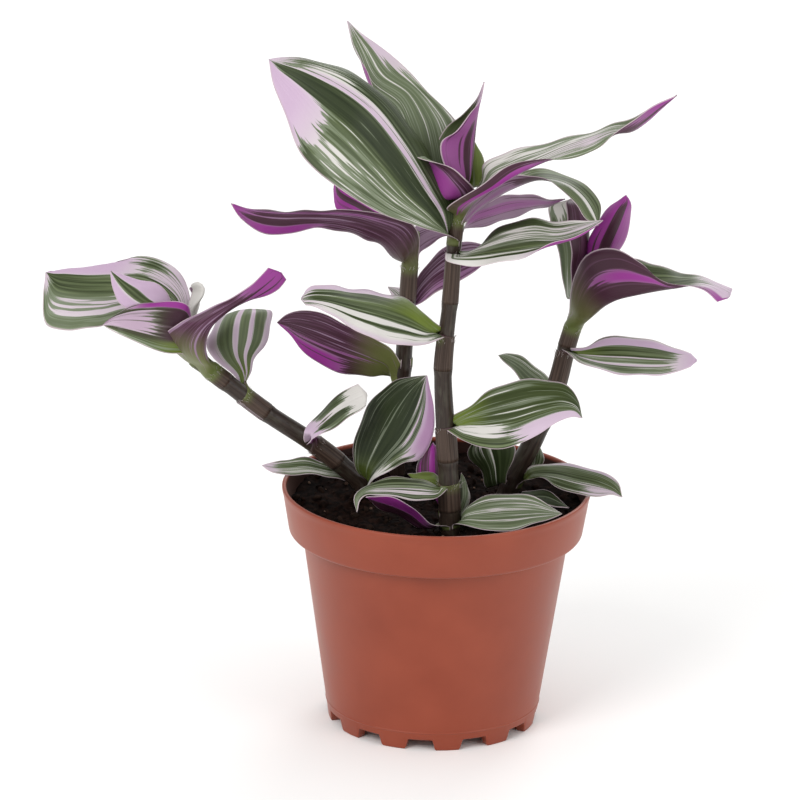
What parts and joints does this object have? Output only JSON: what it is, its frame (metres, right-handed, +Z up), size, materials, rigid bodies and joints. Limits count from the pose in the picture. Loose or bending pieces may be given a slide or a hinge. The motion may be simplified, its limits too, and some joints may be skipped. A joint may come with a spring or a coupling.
{
  "type": "potted tradescantia",
  "caption": "Trailing house plant with striped leaves on arching stems, growing in a round nursery pot with a collar and feet.",
  "frame": {"origin": "middle of the plant's footprint, on the surface that the pot stands on", "axes": "+Z up, -Y towards the viewer of the picture, +X to the viewer's right"},
  "size_m": [0.2664, 0.12, 0.2773],
  "materials": {
    "pot": "terracotta-coloured plastic, semi-gloss",
    "soil": "dark peat potting soil, rough",
    "stem": "dark purple-brown plant stem, satin",
    "leaf": "green leaf with pale and pink stripes, satin"
  },
  "bodies": {
    "root": {"pot": "pot", "soil": "soil", "stem_left": "stem", "stem_middle": "stem", "stem_front": "stem", "stem_right": "stem", "leaf_left_1": "leaf", "leaf_left_2": "leaf", "leaf_left_3": "leaf", "leaf_left_4": "leaf", "leaf_left_5": "leaf", "leaf_left_6": "leaf", "leaf_left_7": "leaf", "leaf_left_8": "leaf", "leaf_foot_left": "leaf", "leaf_middle_1": "leaf", "leaf_middle_2": "leaf", "leaf_middle_3": "leaf", "leaf_middle_4": "leaf", "leaf_middle_5": "leaf", "leaf_middle_6": "leaf", "leaf_front_1": "leaf", "leaf_front_2": "leaf", "leaf_front_3": "leaf", "leaf_front_4": "leaf", "leaf_front_5": "leaf", "leaf_front_6": "leaf", "leaf_front_7": "leaf", "leaf_front_8": "leaf", "leaf_front_9": "leaf", "leaf_front_10": "leaf", "leaf_foot_front_1": "leaf", "leaf_foot_front_2": "leaf", "leaf_foot_front_3": "leaf", "leaf_right_0": "leaf", "leaf_right_1": "leaf", "leaf_right_2": "leaf", "leaf_right_3": "leaf", "leaf_right_4": "leaf", "leaf_right_5": "leaf", "leaf_right_6": "leaf", "leaf_right_7": "leaf", "leaf_right_8": "leaf"}
  },
  "joints": []
}
